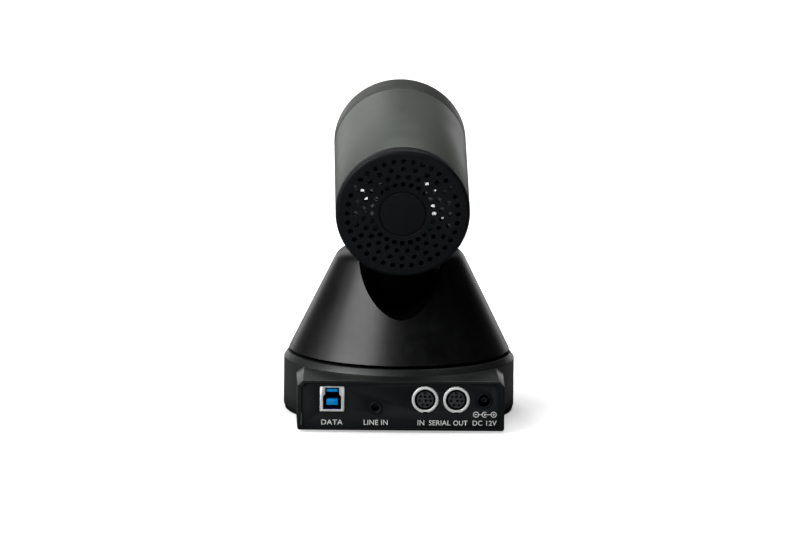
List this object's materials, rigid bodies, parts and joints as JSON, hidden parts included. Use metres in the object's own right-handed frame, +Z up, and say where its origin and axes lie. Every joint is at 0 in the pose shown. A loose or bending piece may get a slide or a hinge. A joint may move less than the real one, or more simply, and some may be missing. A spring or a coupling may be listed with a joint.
{
  "type": "ptz camera",
  "caption": "Pan-tilt-zoom camera: a barrel head tilts in the channel of a conical turret that pans on a round base with a connector box.",
  "frame": {"origin": "on the ground plane, at the middle of the footprint of the base and its connector box", "axes": "+Z up; the connector panel faces +Y and the lens looks towards -Y; the pan axis is parallel to Z, 6.3 mm on the lens side of the origin; the head is stored tilted 11 degrees up"},
  "size_m": [0.1146, 0.1274, 0.1604],
  "materials": {
    "satin_black": "satin moulded",
    "matte_black": "fine texture",
    "sleeve_grey": "satin powder coat, dark grey",
    "ring_grey": "satin moulded",
    "panel_black": "fine matte paint",
    "nickel": "nickel plated",
    "steel": "plain steel",
    "aluminium": "bright sheet",
    "brass": "turned brass",
    "acetal": "natural acetal",
    "blue_plastic": "blue moulded",
    "grey_plastic": "grey moulded",
    "circuit_board": "green solder mask",
    "foot_rubber": "matte rubber",
    "optical_glass": "coated glass",
    "smoked_glass": "dark tinted",
    "ir_plastic": "infrared-pass plastic",
    "lamp_lens": "diffusing lens",
    "cable_jacket": "sleeved wires"
  },
  "bodies": {
    "base": {"base_housing": "satin_black", "bottom_plate": "matte_black", "rear_panel": "panel_black", "ir_window": "ir_plastic", "status_lamp": "lamp_lens", "data_port_shell": "nickel", "data_port_tongue": "blue_plastic", "line_in_jack": "matte_black", "serial_in_shell": "nickel", "serial_in_insert": "grey_plastic", "serial_out_shell": "nickel", "serial_out_insert": "grey_plastic", "power_jack": "matte_black", "power_jack_pin": "nickel", "main_board": "circuit_board", "wire_harness": "cable_jacket", "tripod_insert": "brass", "pan_bearing_outer": "steel", "pan_gear": "acetal", "foot_1": "foot_rubber", "foot_2": "foot_rubber", "foot_3": "foot_rubber", "foot_4": "foot_rubber", "bottom_screw_1": "steel", "bottom_screw_2": "steel", "bottom_screw_3": "steel"},
    "turret": {"turret_shell": "satin_black", "turntable": "aluminium", "pan_bearing_inner": "steel", "pan_motor": "steel", "tilt_motor": "steel", "tilt_bracket": "steel", "tilt_bush_left": "brass", "tilt_bush_right": "brass", "turret_screw_1": "steel", "turret_screw_2": "steel", "turret_screw_3": "steel"},
    "pan_drive": {"pan_pinion": "brass"},
    "tilt_drive": {"tilt_pinion": "brass"},
    "head": {"neck": "matte_black", "tilt_shaft_left": "steel", "tilt_shaft_right": "steel", "tilt_sector_gear": "acetal", "barrel_sleeve": "sleeve_grey", "front_ring": "ring_grey", "front_window": "smoked_glass", "rear_cap": "matte_black", "lens_housing": "matte_black", "front_lens": "optical_glass", "guide_rod_left": "steel", "guide_rod_right": "steel", "chassis_rail_left": "aluminium", "chassis_rail_right": "aluminium", "image_sensor": "smoked_glass", "sensor_board": "circuit_board", "video_board": "circuit_board"},
    "zoom_group": {"zoom_carrier": "matte_black", "zoom_lens": "optical_glass"},
    "focus_group": {"focus_carrier": "matte_black", "focus_lens": "optical_glass"}
  },
  "joints": [
    {"name": "pan", "type": "hinge", "parent": "base", "child": "turret", "pos_m": [0, -0.00632, 0.0312], "axis": [0, 0, 1], "range_deg": [-170, 170]},
    {"name": "pan_drive_spin", "type": "hinge", "parent": "turret", "child": "pan_drive", "pos_m": [-0.02037, -0.02669, 0.0307], "axis": [0, 0, 1], "range_deg": [-850, 850]},
    {"name": "tilt", "type": "hinge", "parent": "turret", "child": "head", "pos_m": [0, -0.00632, 0.0717], "axis": [-1, 0, 0], "range_deg": [-41, 19]},
    {"name": "tilt_drive_spin", "type": "hinge", "parent": "turret", "child": "tilt_drive", "pos_m": [0.0264, -0.00632, 0.0429], "axis": [-1, 0, 0], "range_deg": [-95, 205]},
    {"name": "zoom_travel", "type": "slide", "parent": "head", "child": "zoom_group", "axis": [0, -0.9816, 0.1908], "range_m": [-0.006, 0.011]},
    {"name": "focus_travel", "type": "slide", "parent": "head", "child": "focus_group", "axis": [0, -0.9816, 0.1908], "range_m": [-0.004, 0.005]}
  ],
  "couplings": [
    {"joint": "pan_drive_spin", "follows": "pan", "ratio": 5},
    {"joint": "tilt_drive_spin", "follows": "tilt", "ratio": -5}
  ]
}
